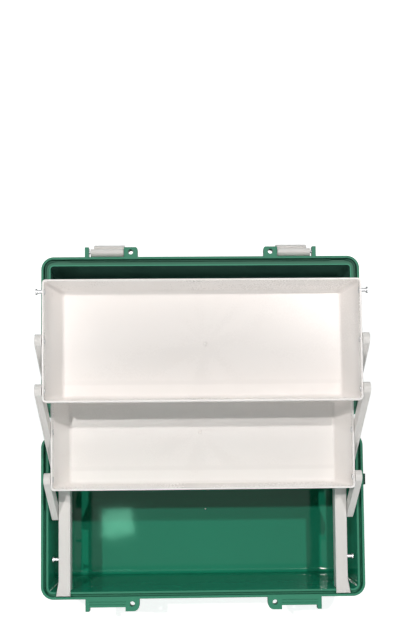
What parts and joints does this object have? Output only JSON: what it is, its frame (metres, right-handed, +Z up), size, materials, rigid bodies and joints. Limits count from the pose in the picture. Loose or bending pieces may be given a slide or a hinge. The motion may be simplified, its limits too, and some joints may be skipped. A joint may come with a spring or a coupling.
{
  "type": "fishing tackle box",
  "caption": "Hinged moulded tackle box, open, with cantilever trays on parallel links, a fold-down handle in the lid, and front snap latches with padlock eyes.",
  "frame": {"origin": "centre of the underside of the base", "axes": "+Z up, +X to the right seen from the latch side, +Y to the back, where the lid hangs open"},
  "size_m": [0.3832, 0.4386, 0.218],
  "materials": {
    "green_polypropylene": "fine texture outside, glossy inside",
    "white_plastic": "satin to glossy off-white",
    "bright_steel": "bright drawn wire"
  },
  "bodies": {
    "base": {"base_tub": "green_polypropylene", "rail_left": "white_plastic", "rail_right": "white_plastic", "rail_studs_left": "bright_steel", "rail_studs_right": "bright_steel", "hinge_pin_left": "bright_steel", "hinge_pin_right": "bright_steel"},
    "lid": {"lid_shell": "green_polypropylene", "latch_pin_left": "bright_steel", "latch_pin_right": "bright_steel"},
    "latch_left": {"latch_left": "white_plastic"},
    "latch_right": {"latch_right": "white_plastic"},
    "handle": {"handle": "white_plastic"},
    "tray_lower": {"tray_lower": "white_plastic", "lower_tray_studs_left": "bright_steel", "lower_tray_studs_right": "bright_steel"},
    "tray_upper": {"tray_upper": "white_plastic", "upper_tray_studs_left": "bright_steel", "upper_tray_studs_right": "bright_steel"},
    "link_front_left": {"link_front_left": "white_plastic"},
    "link_long_left": {"link_long_left": "white_plastic"},
    "link_rear_left": {"link_rear_left": "white_plastic"},
    "link_front_right": {"link_front_right": "white_plastic"},
    "link_long_right": {"link_long_right": "white_plastic"},
    "link_rear_right": {"link_rear_right": "white_plastic"}
  },
  "joints": [
    {"name": "lid_hinge", "type": "hinge", "parent": "base", "child": "lid", "pos_m": [0, 0.106, 0.11015], "axis": [1, 0, 0], "range_deg": [0, 180]},
    {"name": "link_long_left_pivot", "type": "hinge", "parent": "base", "child": "link_long_left", "pos_m": [-0.173, 0.056, 0.102], "axis": [1, 0, 0], "range_deg": [0, 88.2]},
    {"name": "link_front_left_pivot", "type": "hinge", "parent": "base", "child": "link_front_left", "pos_m": [-0.173, 0.003, 0.102], "axis": [1, 0, 0], "range_deg": [0, 88.2]},
    {"name": "link_long_right_pivot", "type": "hinge", "parent": "base", "child": "link_long_right", "pos_m": [0.173, 0.056, 0.102], "axis": [1, 0, 0], "range_deg": [0, 88.2]},
    {"name": "link_front_right_pivot", "type": "hinge", "parent": "base", "child": "link_front_right", "pos_m": [0.173, 0.003, 0.102], "axis": [1, 0, 0], "range_deg": [0, 88.2]},
    {"name": "tray_lower_pivot", "type": "hinge", "parent": "link_long_left", "child": "tray_lower", "pos_m": [-0.173, 0.09831, 0.15636], "axis": [1, 0, 0], "range_deg": [-88.2, 0]},
    {"name": "tray_upper_pivot", "type": "hinge", "parent": "link_long_left", "child": "tray_upper", "pos_m": [-0.173, 0.14063, 0.21071], "axis": [1, 0, 0], "range_deg": [-88.2, 0]},
    {"name": "link_rear_left_pivot", "type": "hinge", "parent": "tray_lower", "child": "link_rear_left", "pos_m": [-0.173, 0.15131, 0.15636], "axis": [1, 0, 0], "range_deg": [0, 88.2]},
    {"name": "link_rear_right_pivot", "type": "hinge", "parent": "tray_lower", "child": "link_rear_right", "pos_m": [0.173, 0.15131, 0.15636], "axis": [1, 0, 0], "range_deg": [0, 88.2]},
    {"name": "latch_left_pivot", "type": "hinge", "parent": "lid", "child": "latch_left", "pos_m": [-0.11175, 0.314, 0.1052], "axis": [1, 0, 0], "range_deg": [0, 138]},
    {"name": "latch_right_pivot", "type": "hinge", "parent": "lid", "child": "latch_right", "pos_m": [0.11175, 0.314, 0.1052], "axis": [1, 0, 0], "range_deg": [0, 138]},
    {"name": "handle_pivot", "type": "hinge", "parent": "lid", "child": "handle", "pos_m": [0, 0.2145, 0.0075], "axis": [-1, 0, 0], "range_deg": [0, 95]}
  ],
  "couplings": [
    {"joint": "link_long_left_pivot", "follows": "lid_hinge", "ratio": 0.49},
    {"joint": "link_front_left_pivot", "follows": "lid_hinge", "ratio": 0.49},
    {"joint": "link_long_right_pivot", "follows": "lid_hinge", "ratio": 0.49},
    {"joint": "link_front_right_pivot", "follows": "lid_hinge", "ratio": 0.49},
    {"joint": "tray_lower_pivot", "follows": "lid_hinge", "ratio": -0.49},
    {"joint": "tray_upper_pivot", "follows": "lid_hinge", "ratio": -0.49},
    {"joint": "link_rear_left_pivot", "follows": "lid_hinge", "ratio": 0.49},
    {"joint": "link_rear_right_pivot", "follows": "lid_hinge", "ratio": 0.49}
  ]
}
